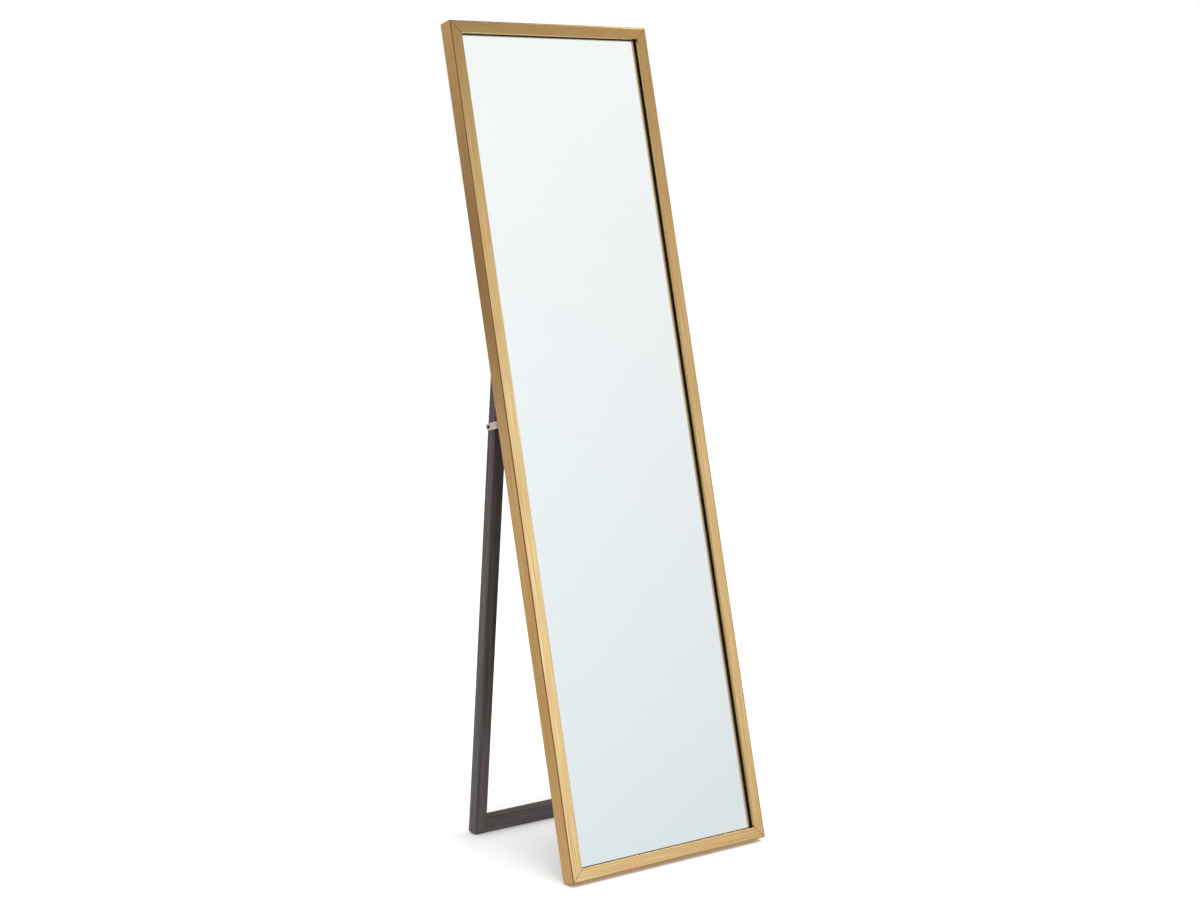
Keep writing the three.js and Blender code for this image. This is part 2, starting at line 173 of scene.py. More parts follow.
def new_material(name, **values):
    """A material with one Principled shader and its plain values."""
    material = bpy.data.materials.new(name)
    material.use_nodes = True
    shader = material.node_tree.nodes["Principled BSDF"]
    for key, value in values.items():
        if key == "Base_Color":
            value = (*value, 1.0)
        shader.inputs[key.replace("_", " ")].default_value = value
    return material, material.node_tree, shader


def drive(tree, shader, **sources):
    """Links sockets to the shader's inputs."""
    for key, source in sources.items():
        tree.links.new(source, shader.inputs[key.replace("_", " ")])


def per_mm(size):
    """Repeats per metre of a feature of that size in millimetres."""
    return 1 / (size * MM)


def grain(tree, sizes_mm, detail=3.0, roughness=0.55, shift=0.0):
    """Noise in the piece's own space, with features of those sizes along X, Y and Z."""
    place = add_node(tree, "ShaderNodeTexCoord")
    stretch = add_node(tree, "ShaderNodeMapping",
                       values={"Scale": [per_mm(size) for size in sizes_mm],
                               "Location": (shift, shift, shift)},
                       links={"Vector": place.outputs["Object"]})
    noise = add_node(tree, "ShaderNodeTexNoise",
                     values={"Scale": 1.0, "Detail": detail, "Roughness": roughness},
                     links={"Vector": stretch.outputs["Vector"]})
    return noise.outputs["Fac"]


def spread(tree, source, low=0.0, high=1.0, from_low=0.3, from_high=0.7):
    """Stretches a value to a new range."""
    node = add_node(tree, "ShaderNodeMapRange",
                    values={"From Min": from_low, "From Max": from_high,
                            "To Min": low, "To Max": high},
                    links={"Value": source})
    return node.outputs["Result"]


def blend_colours(tree, factor, first, second):
    """Mixes two colours or colour sockets."""
    node = add_node(tree, "ShaderNodeMix", {"data_type": "RGBA"}, links={"Factor": factor})
    for place, shade in ((6, first), (7, second)):
        if isinstance(shade, bpy.types.NodeSocket):
            tree.links.new(shade, node.inputs[place])
        else:
            node.inputs[place].default_value = (*shade, 1.0)
    return node.outputs[2]


def raise_surface(tree, shader, height, strength, depth_mm):
    node = add_node(tree, "ShaderNodeBump",
                    values={"Strength": strength, "Distance": depth_mm * MM},
                    links={"Height": height})
    tree.links.new(node.outputs["Normal"], shader.inputs["Normal"])


# ---- Materials ----

def brushed_gold_foil():
    """Metallised foil, hairline brushed and wrapped lengthwise on the moulding.
    Gives fine streaks along each length, soft clouds of colour and a broad satin glow."""
    paint = colours()
    material, tree, shader = new_material("brushed_gold_foil", Metallic=1.0)
    # real hairlines are 0.1 mm wide, drawn 1.1 mm wide so that they show
    hairline = grain(tree, (1.1, 1.1, 140), 4.0, 0.6)
    clouds = grain(tree, (14, 14, 60), 2.0, 0.5, 3.7)
    streaks = blend_colours(tree, spread(tree, hairline), paint.gold_shade, paint.gold)
    shade = blend_colours(tree, spread(tree, clouds, 0.0, 0.5, 0.45, 0.7), streaks, paint.gold_warm)
    drive(tree, shader, Base_Color=shade, Roughness=spread(tree, hairline, 0.27, 0.18))
    raise_surface(tree, shader, hairline, 0.25, 0.08)
    return material


def fibreboard_and_painted_shade():
    """Sawn medium-density fibreboard, bare inside the rebate: dull and fuzzy brown. On the lip beside the glass it
    is painted shade, a dark band standing in for the shadowed gap at the glass's edge.
    """
    material, tree, shader = new_material("fibreboard_and_painted_shade", Roughness=0.9)
    fuzz = grain(tree, (0.9, 0.9, 1.6), 4.0)
    shade = blend_colours(tree, spread(tree, fuzz), linear("#2B211A"), linear("#4A3828"))
    drive(tree, shader, Base_Color=shade)
    raise_surface(tree, shader, fuzz, 0.3, 0.2)
    return material


def float_glass():
    """Clear float glass, fire-polished: a sharp reflection and almost no colour."""
    material, _, _ = new_material("float_glass", Base_Color=colours().glass, Roughness=0.0,
                                  IOR=1.52, Transmission_Weight=1.0)
    return material


def silvering():
    """Silver deposited on glass from solution: a near-perfect, slightly cool reflection."""
    material, _, _ = new_material("silvering", Base_Color=colours().silver, Metallic=1.0,
                                  Roughness=0.0)
    return material


def stained_wood():
    """Open-pored softwood, stained black-brown and lacquered satin.
    Gives charcoal bars with dark lines along the grain and a soft sheen on their edges."""
    paint = colours()
    material, tree, shader = new_material("stained_wood", IOR=1.5, Coat_Weight=0.15,
                                          Coat_Roughness=0.35)
    # growth lines 4 mm apart, with pores 1 mm wide and 45 mm long
    rings = grain(tree, (4, 4, 220), 3.0)
    pores = grain(tree, (1.0, 1.0, 45), 5.0, 0.7, 1.3)
    lines = add_node(tree, "ShaderNodeMath", {"operation": "MULTIPLY"},
                     links={0: rings, 1: pores}).outputs["Value"]
    grained = spread(tree, lines, 0.0, 1.0, 0.12, 0.32)
    shade = blend_colours(tree, grained, paint.wood_pore, paint.wood)
    drive(tree, shader, Base_Color=shade, Roughness=spread(tree, pores, 0.55, 0.4))
    raise_surface(tree, shader, lines, 0.4, 0.2)
    return material


def pressed_hardboard():
    """Wood fibre hot-pressed into a hard sheet: mottled brown, almost matt."""
    paint = colours()
    material, tree, shader = new_material("pressed_hardboard", IOR=1.5)
    fibres = grain(tree, (2.2, 2.2, 5), 6.0, 0.7)
    clouds = grain(tree, (45, 45, 60), 2.0, 0.5, 2.2)
    deep = tuple(0.55 * channel for channel in paint.board)
    mottle = blend_colours(tree, spread(tree, fibres), deep, paint.board)
    shade = blend_colours(tree, spread(tree, clouds, 0.0, 0.35), mottle, deep)
    drive(tree, shader, Base_Color=shade, Roughness=spread(tree, fibres, 0.8, 0.55))
    raise_surface(tree, shader, fibres, 0.35, 0.2)
    return material


def zinc_plated_steel():
    """Cold-rolled steel, stamped and zinc plated: warm pale grey with a cloudy satin gloss."""
    paint = colours()
    material, tree, shader = new_material("zinc_plated_steel", Metallic=1.0)
    cloud = grain(tree, (2.5, 2.5, 2.5), 4.0, 0.6)
    rolled = grain(tree, (0.5, 0.5, 9), 2.0)
    dull = tuple(0.82 * channel for channel in paint.zinc)
    shade = blend_colours(tree, spread(tree, cloud), dull, paint.zinc)
    drive(tree, shader, Base_Color=shade, Roughness=spread(tree, cloud, 0.45, 0.3))
    raise_surface(tree, shader, rolled, 0.1, 0.04)
    return material


def black_zinc_steel():
    """Screw steel with a black passivated zinc coat: dark and a little glossy."""
    material, tree, shader = new_material("black_zinc_steel", Metallic=0.9)
    grit = grain(tree, (0.8, 0.8, 0.8), 2.0)
    shade = blend_colours(tree, spread(tree, grit), linear("#141414"), linear("#262524"))
    drive(tree, shader, Base_Color=shade, Roughness=spread(tree, grit, 0.5, 0.34))
    return material


def plain_beech():
    """Turned beech, unfinished: pale, with short darker flecks along the grain."""
    material, tree, shader = new_material("plain_beech", Roughness=0.6, IOR=1.5)
    fleck = grain(tree, (0.7, 0.7, 9), 3.0)
    shade = blend_colours(tree, spread(tree, fleck), linear("#A97F55"), linear("#D3B387"))
    drive(tree, shader, Base_Color=shade)
    raise_surface(tree, shader, fleck, 0.2, 0.1)
    return material


def matt_studio_paint():
    """Rolled matt emulsion on a studio floor: even, pale and without gloss."""
    material, tree, shader = new_material("matt_studio_paint", Roughness=0.9)
    roller = grain(tree, (6, 6, 6), 2.0)
    shade = tuple(0.985 * channel for channel in colours().floor)
    tone = blend_colours(tree, spread(tree, roller), shade, colours().floor)
    drive(tree, shader, Base_Color=tone)
    return material


FINISHES = {}


def finish_of(maker):
    """The material that a function makes, made once."""
    if maker not in FINISHES:
        FINISHES[maker] = maker()
    return FINISHES[maker]


# ---- Mesh tools ----

SHARP_ANGLE = math.radians(35)
ARC_STEPS = 6
ROUND_STEPS = 24


def to_mesh(bm, name):
    """Outward faces, shaded smooth except across sharp edges."""
    bmesh.ops.recalc_face_normals(bm, faces=bm.faces)
    for face in bm.faces:
        face.smooth = True
    for edge in bm.edges:
        edge.smooth = edge.is_manifold and edge.calc_face_angle(0.0) < SHARP_ANGLE
    mesh = bpy.data.meshes.new(name)
    bm.to_mesh(mesh)
    bm.free()
    return mesh


def place(name, mesh, matrix, body, finishes, nodes, slot, arris=0.0):
    """Puts a piece in its place, on its body and for its CAD nodes, with its edges eased."""
    if not mesh.materials:
        for maker in finishes:
            mesh.materials.append(finish_of(maker))
    piece = bpy.data.objects.new(name, mesh)
    bpy.context.scene.collection.objects.link(piece)
    piece.matrix_world = matrix
    if arris:
        ease = piece.modifiers.new("arris", "BEVEL")
        ease.width = arris
        ease.segments = 2
        ease.limit_method = "ANGLE"
        ease.angle_limit = SHARP_ANGLE
        ease.harden_normals = True
    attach(piece, body)
    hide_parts(*nodes)


def place_steel(node, mesh, matrix, body, arris=0.0, ending="steel"):
    """Puts a zinc-plated piece in its place, for the one CAD node it is named after."""
    place(f"{node}_{ending}", mesh, matrix, body, [zinc_plated_steel], [node], "zinc_steel", arris)


def arc(centre_x, centre_y, radius, start, end, steps):
    """Points of an arc, with its angles in degrees."""
    turns = [math.radians(start + (end - start) * i / steps) for i in range(steps + 1)]
    return [(centre_x + radius * math.cos(t), centre_y + radius * math.sin(t)) for t in turns]


def circle(centre_x, centre_y, radius):
    """Points of a full circle, without repeating the first."""
    return arc(centre_x, centre_y, radius, 0, 360 - 360 / ROUND_STEPS, ROUND_STEPS - 1)


def loft(bm, rings):
    """Joins rings of points of equal count with faces, and closes the two ends."""
    made = [[bm.verts.new(point) for point in ring] for ring in rings]
    for lower, upper in zip(made, made[1:]):
        for i, corner in enumerate(lower):
            j = (i + 1) % len(lower)
            bm.faces.new((corner, lower[j], upper[j], upper[i]))
    bm.faces.new(made[0])
    bm.faces.new(made[-1])


def rounded_rectangle(low, high, radius, steps=4):
    (x0, y0), (x1, y1) = low, high
    return (arc(x0 + radius, y0 + radius, radius, 180, 270, steps)
            + arc(x1 - radius, y0 + radius, radius, 270, 360, steps)
            + arc(x1 - radius, y1 - radius, radius, 0, 90, steps)
            + arc(x0 + radius, y1 - radius, radius, 90, 180, steps))


def sawn_bar(name, low, high, radius, end_radius):
    """A bar along Z with eased long edges and lightly eased ends."""
    bm = bmesh.new()
    rings = []
    ease = [(end_radius * (1 - math.sin(turn)), end_radius * (1 - math.cos(turn)))
            for turn in map(math.radians, (0, 45, 90))]
    levels = [(inset, low.z + rise) for inset, rise in ease]
    levels += [(inset, high.z - rise) for inset, rise in reversed(ease)]
    for inset, z in levels:
        outline = rounded_rectangle((low.x + inset, low.y + inset), (high.x - inset, high.y - inset),
                                    radius)
        rings.append([(x, y, z) for x, y in outline])
    loft(bm, rings)
    return to_mesh(bm, name)


def plate(bm, outer, holes, low, high, to_point):
    """A sheet cut to an outline with holes; to_point turns (u, v, thickness) to a place."""
    sheet = bmesh.new()
    for loop in [outer, *holes]:
        corners = [sheet.verts.new((u, v, 0)) for u, v in loop]
        for i, corner in enumerate(corners):
            sheet.edges.new((corner, corners[(i + 1) % len(corners)]))
    bmesh.ops.triangle_fill(sheet, use_beauty=True, use_dissolve=False, edges=sheet.edges)
    solid = bmesh.ops.extrude_face_region(sheet, geom=sheet.faces[:])
    raised = {v for v in solid["geom"] if isinstance(v, bmesh.types.BMVert)}
    for vert in sheet.verts:
        level = high if vert in raised else low
        vert.co = Vector(to_point(vert.co.x, vert.co.y, level))
    bmesh.ops.recalc_face_normals(sheet, faces=sheet.faces)
    part = bpy.data.meshes.new("part")
    sheet.to_mesh(part)
    sheet.free()
    bm.from_mesh(part)
    bpy.data.meshes.remove(part)


def cut_sheet(name, outer, holes, low, high, to_point):
    """A mesh of one plate."""
    bm = bmesh.new()
    plate(bm, outer, holes, low, high, to_point)
    return to_mesh(bm, name)


def turned(name, profile, sides, centre=(0, 0)):
    """A closed shape turned about Z from (radius, height) points, the ends on the axis."""
    bm = bmesh.new()
    rings = []
    for radius, height in profile:
        count = sides if radius else 1
        rings.append([bm.verts.new((centre[0] + radius * math.cos(2 * math.pi * i / sides),
                                    centre[1] + radius * math.sin(2 * math.pi * i / sides), height))
                      for i in range(count)])
    for lower, upper in zip(rings, rings[1:]):
        for i in range(sides):
            j = (i + 1) % sides
            corners = [lower[i % len(lower)], lower[j % len(lower)],
                       upper[j % len(upper)], upper[i % len(upper)]]
            bm.faces.new(dict.fromkeys(corners))
    return to_mesh(bm, name)


def without(mesh, cutter):
    """A mesh with a cutter's shape taken away."""
    work, tool = (bpy.data.objects.new("work", data) for data in (mesh, cutter))
    for temporary in (work, tool):
        bpy.context.scene.collection.objects.link(temporary)
    cut = work.modifiers.new("cut", "BOOLEAN")
    cut.operation = "DIFFERENCE"
    cut.solver = "EXACT"
    cut.object = tool
    result = bpy.data.meshes.new_from_object(
        work.evaluated_get(bpy.context.evaluated_depsgraph_get()))
    for temporary in (work, tool):
        bpy.data.objects.remove(temporary)
    for mesh_data in (mesh, cutter):
        bpy.data.meshes.remove(mesh_data)
    return result


# ---- Frame ----

LENGTH_STEPS = 24
# the foil, and bare board, which on the lip beside the glass is painted shade
FOIL, BARE_CORE_AND_SHADE = 0, 1
# points held this close to a rounding keep the flat sides flat in their shading
HOLD = 0.25 * MM
# radius of the rear outer edge, as a share of the front one's
REAR_SHARE = 0.4
# slack in telling which face of the moulding is which
NEAR = 0.01 * MM


def moulding_outline(depth):
    """The L section as (across the face, depth), round from its rear outer edge."""
    s = sizes()
    front, rear, lip = s.frame_arris, REAR_SHARE * s.frame_arris, s.lip_arris
    outline = arc(rear, depth - rear, rear, 90, 180, 2)
    outline += [(0, depth - rear - HOLD), (0, front + HOLD)]
    outline += arc(front, front, front, 180, 270, ARC_STEPS)
    outline += [(front + HOLD, 0), (s.frame_face - lip - HOLD, 0)]
    outline += arc(s.frame_face - lip, lip, lip, 270, 360, ARC_STEPS)
    # painted shade on the lip beside the glass starts at this point
    outline += [(s.frame_face, lip + HOLD), (s.frame_face, s.painted_shade_start), (s.frame_face, s.lip_depth),
                (s.rebate_wall, s.lip_depth), (s.rebate_wall, depth)]
    return outline


def mitred_moulding(name, full_length, depth):
    """One side of the frame along Z, its outer side on X = 0, both ends cut at 45 degrees."""
    gap = sizes().mitre_gap
    outline = moulding_outline(depth)
    bm = bmesh.new()
    rings = []
    for step in range(LENGTH_STEPS + 1):
        share = step / LENGTH_STEPS
        rings.append([(u, n, (u + gap) * (1 - share) + (full_length - u - gap) * share)
                      for u, n in outline])
    loft(bm, rings)
    for face in bm.faces:
        middle = face.calc_center_median()
        # bare board inside the rebate and on the sawn ends; on the lip beside the glass it is painted shade for
        # the shadowed gap at the glass's edge
        inside = middle.x > sizes().rebate_wall - NEAR and middle.y > sizes().painted_shade_start
        sawn = len(face.verts) == len(outline)
        face.material_index = BARE_CORE_AND_SHADE if inside or sawn else FOIL
    bmesh.ops.triangulate(bm, faces=[face for face in bm.faces if len(face.verts) > 4])
    return to_mesh(bm, name)


class EASEL_MIRROR_OT_frame(bpy.types.Operator):
    """Four mitred lengths of gold moulding round the glass"""
    bl_idname = "easel_mirror.frame"
    bl_label = "Frame"

    def execute(self, context):
        low, high = extent(MIRROR, "frame_stile_left", "frame_stile_right",
                           "frame_rail_bottom", "frame_rail_top")
        half = high.x
        full_height = high.z - low.z
        depth = high.y - low.y
        sides = [
            ("frame_stile_left", full_height, 0, (-half, low.y, 0)),
            ("frame_stile_right", full_height, math.pi, (half, low.y, full_height)),
            ("frame_rail_bottom", 2 * half, -math.pi / 2, (half, low.y, 0)),
            ("frame_rail_top", 2 * half, math.pi / 2, (-half, low.y, full_height)),
        ]
        for node, full_length, turn, corner in sides:
            matrix = MIRROR @ Matrix.Translation(corner) @ Matrix.Rotation(turn, 4, "Y")
            place(f"{node}_moulding", mitred_moulding(node, full_length, depth), matrix, "mirror",
                  [brushed_gold_foil, fibreboard_and_painted_shade], [node], "frame_gold")
        return {"FINISHED"}


# ---- Glass and back ----

# radius and steps of the corners
GLASS_CORNER, BOARD_CORNER = (1 * MM, 2), (1.5 * MM, 3)
SHEET_EASE = 0.3 * MM
# keeps the silvering's face off the back of the glass
SILVER_GAP = 0.01 * MM


class EASEL_MIRROR_OT_glass(bpy.types.Operator):
    """Float glass with its silvering, and the board behind it"""
    bl_idname = "easel_mirror.glass"
    bl_label = "Glass and back board"

    def execute(self, context):
        front, back = (corner.y for corner in extent(MIRROR, "mirror_glass"))
        seam = back - sizes().silver_coat
        self.sheet("mirror_glass_sheet", "mirror_glass", front, seam, GLASS_CORNER, float_glass,
                   "mirror", SHEET_EASE)
        self.sheet("mirror_silvering", "mirror_glass", seam + SILVER_GAP, back, GLASS_CORNER,
                   silvering, "mirror", 0.0)
        front, back = (corner.y for corner in extent(MIRROR, "back_panel"))
        self.sheet("back_panel_board", "back_panel", front, back, BOARD_CORNER, pressed_hardboard,
                   "hardboard", SHEET_EASE)
        return {"FINISHED"}

    @staticmethod
    def sheet(name, node, front, back, corner, maker, slot, arris):
        """A sheet as wide and as high as a CAD node, between two depths."""
        low, high = extent(MIRROR, node)
        outline = rounded_rectangle((low.x, low.z), (high.x, high.z), *corner)
        mesh = cut_sheet(name, outline, [], front, back, lambda u, v, t: (u, t, v))
        place(name, mesh, MIRROR, "mirror", [maker], [node], slot, arris)


# a glazing point's shoulders and cut corners, as shares of its half length and half width
SHOULDER, TAB_CORNER = 0.35, 0.7
TAB_EASE = 0.1 * MM


class EASEL_MIRROR_OT_glazing_points(bpy.types.Operator):
    """Steel tabs driven into the rebate to hold the board"""
    bl_idname = "easel_mirror.glazing_points"
    bl_label = "Glazing points"

    def execute(self, context):
        glass_low, glass_high = extent(MIRROR, "mirror_glass")
        middle_height = (glass_low.z + glass_high.z) / 2
        for node in sorted(node for node in frame["nodes"] if node.startswith("glazing_point_")):
            low, high = extent(MIRROR, node)
            centre = (low + high) / 2
            along_x = "left" in node or "right" in node
            sign = math.copysign(1, centre.x if along_x else centre.z - middle_height)
            reach = (high.x - low.x if along_x else high.z - low.z) / 2
            wide = (high.z - low.z if along_x else high.x - low.x) / 2
            # a shield shape: a point driven into the wood and a tab with cut corners left out
            outline = [(reach, 0), (SHOULDER * reach, wide), (-TAB_CORNER * reach, wide),
                       (-reach, TAB_CORNER * wide), (-reach, -TAB_CORNER * wide),
                       (-TAB_CORNER * reach, -wide), (SHOULDER * reach, -wide)]
            if along_x:
                def to_point(u, v, t):
                    return centre.x + sign * u, t, centre.z + v
            else:
                def to_point(u, v, t):
                    return centre.x + v, t, centre.z + sign * u
            mesh = cut_sheet(node, outline, [], low.y, high.y, to_point)
            place_steel(node, mesh, MIRROR, "mirror", TAB_EASE, "tab")
        return {"FINISHED"}


# ---- Stand ----

DOWEL_EASE, DOWEL_SIDES = 0.8 * MM, 24
UPRIGHT = Matrix.Identity(4)
# turns a bar's length from Z to X
CROSSWISE = Matrix(((0, 0, 1, 0), (0, 1, 0, 0), (-1, 0, 0, 0), (0, 0, 0, 1)))


class EASEL_MIRROR_OT_stand(bpy.types.Operator):
    """Stained bars: the folding stand and the rail that carries its hinges"""
    bl_idname = "easel_mirror.stand"
    bl_label = "Stand"

    def execute(self, context):
        bars = [
            ("stand_leg_left", STAND, "stand", UPRIGHT),
            ("stand_leg_right", STAND, "stand", UPRIGHT),
            ("stand_rail_bottom", STAND, "stand", CROSSWISE),
            ("stand_rail_top", STAND, "stand", CROSSWISE),
            ("hinge_cross_rail", MIRROR, "mirror", CROSSWISE),
        ]
        s = sizes()
        for node, space, body, lie in bars:
            own = space @ lie
            low, high = extent(own, node)
            place(f"{node}_bar", sawn_bar(node, low, high, s.bar_arris, s.end_arris), own, body,
                  [stained_wood], [node], "stand_wood")
        self.dowels()
        return {"FINISHED"}

    @staticmethod
    def dowels():
        own = STAND @ CROSSWISE
        for node in sorted(node for node in frame["nodes"] if node.startswith("stand_dowel_")):
            low, high = extent(own, node)
            radius = (high.x - low.x) / 2
            inner = radius - DOWEL_EASE
            profile = [(0, low.z), (inner, low.z), (radius, low.z + DOWEL_EASE),
                       (radius, high.z - DOWEL_EASE), (inner, high.z), (0, high.z)]
            centre = (low.x + high.x) / 2, (low.y + high.y) / 2
            place(f"{node}_pin", turned(node, profile, DOWEL_SIDES, centre), own, "stand",
                  [plain_beech], [node], "dowel_beech")


# ---- Screws ----

SCREW_SIDES = 24
RINGS_PER_TURN = 6
# the unthreaded part, as a share of the length below the head
PLAIN_SHANK = 0.22
# the thread's root and the tip's length, as shares of the shank's radius, and the point's taper
THREAD_ROOT, TIP_LENGTH, POINT_TAPER = 0.72, 2.2, 0.08
# the ridge of the thread takes 2 / THREAD_STEEPNESS of the pitch
THREAD_STEEPNESS = 5
UNDER_HEAD = -0.02 * MM
# the head's flat middle and its recess, as shares of its radius
HEAD_FLAT, RECESS_REACH, RECESS_HALF_WIDTH = 0.12, 0.62, 0.13
# the recess's floor and the cutter's top, as shares of the head's height; the floor's size
RECESS_FLOOR, RECESS_TOP, RECESS_TAPER = 0.25, 1.3, 0.35
# degrees from one screw's recess to the next one's
SPIN_STEP = 37


def screw_ring(radii, height):
    """One level of a screw, from its radius at each side."""
    turns = [2 * math.pi * k / SCREW_SIDES for k in range(SCREW_SIDES)]
    return [(radius * math.cos(turn), radius * math.sin(turn), height)
            for radius, turn in zip(radii, turns)]


def round_ring(radius, height):
    return screw_ring([radius] * SCREW_SIDES, height)


def threaded_screw(name, head_radius, head_height, shank_radius, total_length, pitch):
    """A pan-head wood screw turned about Z, its head above Z = 0, with a cross recess."""
    length_below = total_length - head_height
    plain, tip = PLAIN_SHANK * length_below, TIP_LENGTH * shank_radius
    root = THREAD_ROOT * shank_radius
    rings = []
    for i in range(int((length_below - plain) / pitch * RINGS_PER_TURN), -1, -1):
        depth = plain + i * pitch / RINGS_PER_TURN
        taper = min(1.0, max(POINT_TAPER, (length_below - depth) / tip))
        fade = min(1.0, i / RINGS_PER_TURN)
        radii = []
        for k in range(SCREW_SIDES):
            phase = (depth / pitch + k / SCREW_SIDES) % 1
            crest = max(0.0, 1 - abs(phase - 0.5) * THREAD_STEEPNESS)
            radii.append((root + (shank_radius - root) * (crest * fade + (1 - fade))) * taper)
        rings.append(screw_ring(radii, -depth))
    rings.append(round_ring(shank_radius, UNDER_HEAD))
    for turn in map(math.radians, range(0, 90, 15)):
        rings.append(round_ring(head_radius * math.cos(turn), head_height * math.sin(turn)))
    rings.append(round_ring(HEAD_FLAT * head_radius, head_height))
    bm = bmesh.new()
    loft(bm, rings)
    return without(to_mesh(bm, name), cross_recess(head_radius, head_height))


def cross_recess(head_radius, head_height):
    """Two crossed, tapering blades, the shape of the screwdriver's tip."""
    reach, half = RECESS_REACH * head_radius, RECESS_HALF_WIDTH * head_radius
    arms = [(half, reach), (-half, reach), (-half, half), (-reach, half), (-reach, -half),
            (-half, -half), (-half, -reach), (half, -reach), (half, -half), (reach, -half),
            (reach, half), (half, half)]
    bm = bmesh.new()
    loft(bm, [[(RECESS_TAPER * x, RECESS_TAPER * y, RECESS_FLOOR * head_height) for x, y in arms],
              [(x, y, RECESS_TOP * head_height) for x, y in arms]])
    return to_mesh(bm, "recess")


# a screw's own Z, along which its head looks, in the space of the part it is driven into
HEAD_TO_BACK = Matrix.Rotation(-math.pi / 2, 4, "X")
HEAD_UP = Matrix.Identity(4)
HEAD_LEFT = Matrix.Rotation(-math.pi / 2, 4, "Y")
HEAD_RIGHT = Matrix.Rotation(math.pi / 2, 4, "Y")


def pin_box(space, look, node):
    """The space whose Z is the way the head looks; the node's centre, radius and Z range in it."""
    own = space @ look
    low, high = extent(own, node)
    middle = (low + high) / 2
    return own, middle, (high.x - low.x) / 2, low.z, high.z


class EASEL_MIRROR_OT_screws(bpy.types.Operator):
    """Wood screws of the hinges, the brackets and the stay pivots"""
    bl_idname = "easel_mirror.screws"
    bl_label = "Screws"

    def execute(self, context):
        kinds = []
        for side in SIDES:
            for n in (1, 2):
                kinds += [
                    (f"hinge_rail_screw_{side}_{n}", MIRROR, "mirror", HEAD_TO_BACK, "zinc"),
                    (f"hinge_stand_screw_{side}_{n}", STAND, "stand", HEAD_UP, "zinc"),
                    (f"stay_bracket_screw_{side}_{n}", MIRROR, "mirror", HEAD_TO_BACK, "zinc"),
                ]
            look = HEAD_LEFT if side == "left" else HEAD_RIGHT
            kinds.append((f"stay_pivot_screw_{side}", STAND, "stand", look, "black"))
        # head height, shank radius, pitch of the thread, finish and slot
        looks = {
            "zinc": (1.7 * MM, 1.5 * MM, 1.25 * MM, zinc_plated_steel, "zinc_steel"),
            "black": (1.6 * MM, 1.9 * MM, 1.5 * MM, black_zinc_steel, "black_steel"),
        }
        meshes = {}
        for number, (node, space, body, look, kind) in enumerate(kinds):
            head_height, shank, pitch, maker, slot = looks[kind]
            own, middle, radius, low, high = pin_box(space, look, node)
            if kind not in meshes:
                meshes[kind] = threaded_screw(f"{kind}_screw", radius, head_height, shank,
                                              high - low, pitch)
            spin = Matrix.Rotation(math.radians(SPIN_STEP * number), 4, "Z")
            matrix = own @ Matrix.Translation((middle.x, middle.y, high - head_height)) @ spin
            place(f"{node}_cross_head", meshes[kind], matrix, body, [maker], [node], slot)
        return {"FINISHED"}


# ---- Hinges ----

LEAF_CORNER, LEAF_HOLE_ACROSS, LEAF_HOLE_UP = 2.5 * MM, 16 * MM, 11 * MM
SCREW_HOLE = 1.8 * MM
# from the barrel to the end of the rolled part, and how far the flat leaf overlaps it
LEAF_NECK, NECK_OVERLAP = 0.8 * MM, 0.5 * MM
# the steel is rolled round the pin between these angles, in degrees
ROLL_START, ROLL_END = 180, 478
OUTER_ROLL_STEPS, INNER_ROLL_STEPS = 28, 24
PIN_CAP, PIN_SIDES = 0.8 * MM, 28


def rolled_leaf(name, half, width, barrel, knuckles):
    """A leaf reaching along +Z from its pin on X, its outer face tangent to the barrel at -Y,
    with the steel rolled round the pin at each knuckle."""
    thick = sizes().leaf_thickness
    neck = barrel + LEAF_NECK
    bm = bmesh.new()
    outline = ([(-half, neck - NECK_OVERLAP), (half, neck - NECK_OVERLAP)]
               + arc(half - LEAF_CORNER, width - LEAF_CORNER, LEAF_CORNER, 0, 90, ARC_STEPS)
               + arc(-half + LEAF_CORNER, width - LEAF_CORNER, LEAF_CORNER, 90, 180, ARC_STEPS))
    holes = [circle(x, LEAF_HOLE_UP, SCREW_HOLE) for x in (-LEAF_HOLE_ACROSS, LEAF_HOLE_ACROSS)]
    plate(bm, outline, holes, -barrel, -barrel + thick, lambda u, v, t: (u, t, v))
    curl = ([(-barrel, neck)] + arc(0, 0, barrel, ROLL_START, ROLL_END, OUTER_ROLL_STEPS)
            + arc(0, 0, barrel - thick, ROLL_END, ROLL_START, INNER_ROLL_STEPS)
            + [(-barrel + thick, neck)])
    for start, end in knuckles:
        plate(bm, curl, [], start, end, lambda u, v, t: (t, u, v))
    return to_mesh(bm, name)


